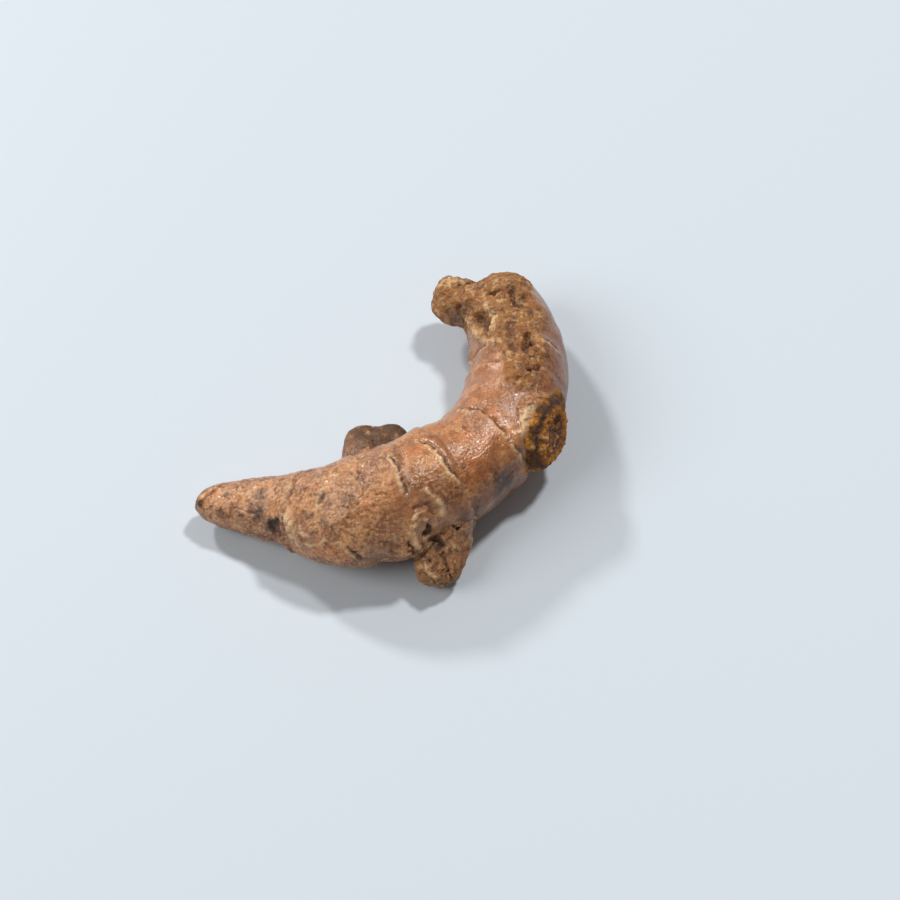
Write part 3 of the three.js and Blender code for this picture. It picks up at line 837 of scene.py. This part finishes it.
class TURMERIC_OT_stage(bpy.types.Operator):
    """Set the table, the light and the camera"""

    bl_idname = "turmeric.stage"
    bl_label = "Stage"

    def execute(self, context):
        settings = context.scene.turmeric_stage
        scene = context.scene
        mesh = bpy.data.meshes.new("table_top")
        corners = [(TABLE_HALF * x, TABLE_HALF * y, 0) for x, y in ((-1, -1), (1, -1), (1, 1), (-1, 1))]
        mesh.from_pydata(corners, [], [(0, 1, 2, 3)])
        table = bpy.data.objects.new("table_top", mesh)
        scene.collection.objects.link(table)
        # A matt painted board: an even pale ground that takes a soft shadow.
        board = bpy.data.materials.new("matt_painted_board")
        board.use_nodes = True
        board.node_tree.nodes.clear()
        paint = add(board.node_tree, "ShaderNodeBsdfPrincipled", {"Base Color": settings.table, "Roughness": 0.6})
        add(board.node_tree, "ShaderNodeOutputMaterial", {"Surface": paint.outputs["BSDF"]})
        mesh.materials.append(board)

        world = bpy.data.worlds.new("studio")
        world.use_nodes = True
        background = world.node_tree.nodes["Background"].inputs
        background["Color"].default_value = (1.0, 1.0, 1.0, 1.0)
        background["Strength"].default_value = settings.air
        scene.world = world

        middle = Vector((0.0, 0.0, 10 * MM))
        for name, toward, power, size in SOFTBOXES:
            softbox = bpy.data.lights.new(name, "AREA")
            softbox.shape = "DISK"
            softbox.size = getattr(settings, size)
            softbox.energy = getattr(settings, power)
            lamp = bpy.data.objects.new(name, softbox)
            lamp.location = middle + Vector(toward).normalized() * LIGHT_DISTANCE
            lamp.rotation_euler = (lamp.location - middle).to_track_quat("Z", "Y").to_euler()
            scene.collection.objects.link(lamp)

        lens = bpy.data.cameras.new("camera")
        lens.lens = settings.lens
        lens.sensor_width = 36.0
        lens.clip_start = 0.01
        camera = bpy.data.objects.new("camera", lens)
        back = Vector((0.0, -math.cos(settings.elevation), math.sin(settings.elevation)))
        target = Vector(-MIDDLE * MM)
        turn = back.to_track_quat("Z", "Y").to_matrix().to_4x4()
        camera.matrix_world = Matrix.Translation(target + back * settings.distance) @ turn
        scene.collection.objects.link(camera)
        scene.camera = camera
        scene.view_settings.view_transform = "Standard"
        return {"FINISHED"}


class TURMERIC_PT_panel(bpy.types.Panel):
    """The root's settings and its makers"""

    bl_label = "Turmeric Root"
    bl_space_type = "VIEW_3D"
    bl_region_type = "UI"
    bl_category = "Turmeric Root"

    def draw(self, context):
        for operator, settings in (
            ("turmeric.rhizome", context.scene.turmeric_rhizome),
            ("turmeric.stage", context.scene.turmeric_stage),
        ):
            box = self.layout.box()
            for name in settings.__annotations__:
                box.prop(settings, name)
            box.operator(operator)


CLASSES = (RhizomeSettings, StageSettings, TURMERIC_OT_rhizome, TURMERIC_OT_stage, TURMERIC_PT_panel)


def register():
    for made in CLASSES:
        bpy.utils.register_class(made)
    bpy.types.Scene.turmeric_rhizome = bpy.props.PointerProperty(type=RhizomeSettings)
    bpy.types.Scene.turmeric_stage = bpy.props.PointerProperty(type=StageSettings)


def unregister():
    del bpy.types.Scene.turmeric_stage
    del bpy.types.Scene.turmeric_rhizome
    for made in reversed(CLASSES):
        bpy.utils.unregister_class(made)


def main():
    register()
    bpy.ops.turmeric.rhizome()
    bpy.ops.turmeric.stage()


if __name__ == "__main__":
    main()
